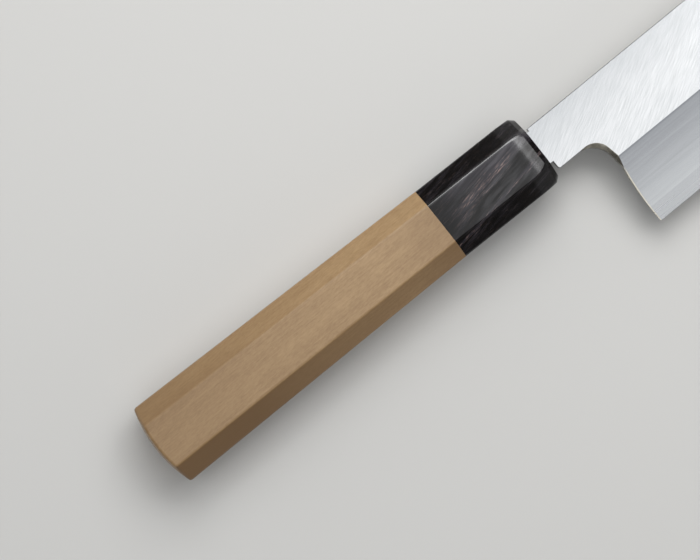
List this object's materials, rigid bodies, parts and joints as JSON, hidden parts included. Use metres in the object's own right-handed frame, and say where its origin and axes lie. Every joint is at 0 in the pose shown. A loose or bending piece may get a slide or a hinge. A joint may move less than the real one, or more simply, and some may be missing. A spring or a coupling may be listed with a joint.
{
  "type": "usuba knife",
  "caption": "Single-bevel vegetable knife with a tall straight blade, hollow-ground back, rounded choil, dark horn ferrule and octagonal tapered wooden handle.",
  "frame": {"origin": "middle of the knife's length and width, level with the lowest part of the handle as the knife lies on its side", "axes": "+X from the butt to the tip along the handle's axis, +Y from the cutting edge to the spine, +Z out of the bevelled face"},
  "size_m": [0.3356, 0.0517, 0.0222],
  "materials": {
    "cladding_iron": "fine slanting hand-rubbed lines on the flat, misty on the bevel",
    "edge_steel": "stone-polished along the edge, ground on the back",
    "horn": "polished dark horn with brown streaks",
    "handle_wood": "sanded bare wood with fine straight grain",
    "dowel_wood": "turned bare wood",
    "bedding_resin": "dull set resin"
  },
  "bodies": {
    "root": {"blade_cladding": "cladding_iron", "blade_edge_steel": "edge_steel", "ferrule": "horn", "grip": "handle_wood", "handle_dowel": "dowel_wood", "tang_bedding": "bedding_resin"}
  },
  "joints": []
}
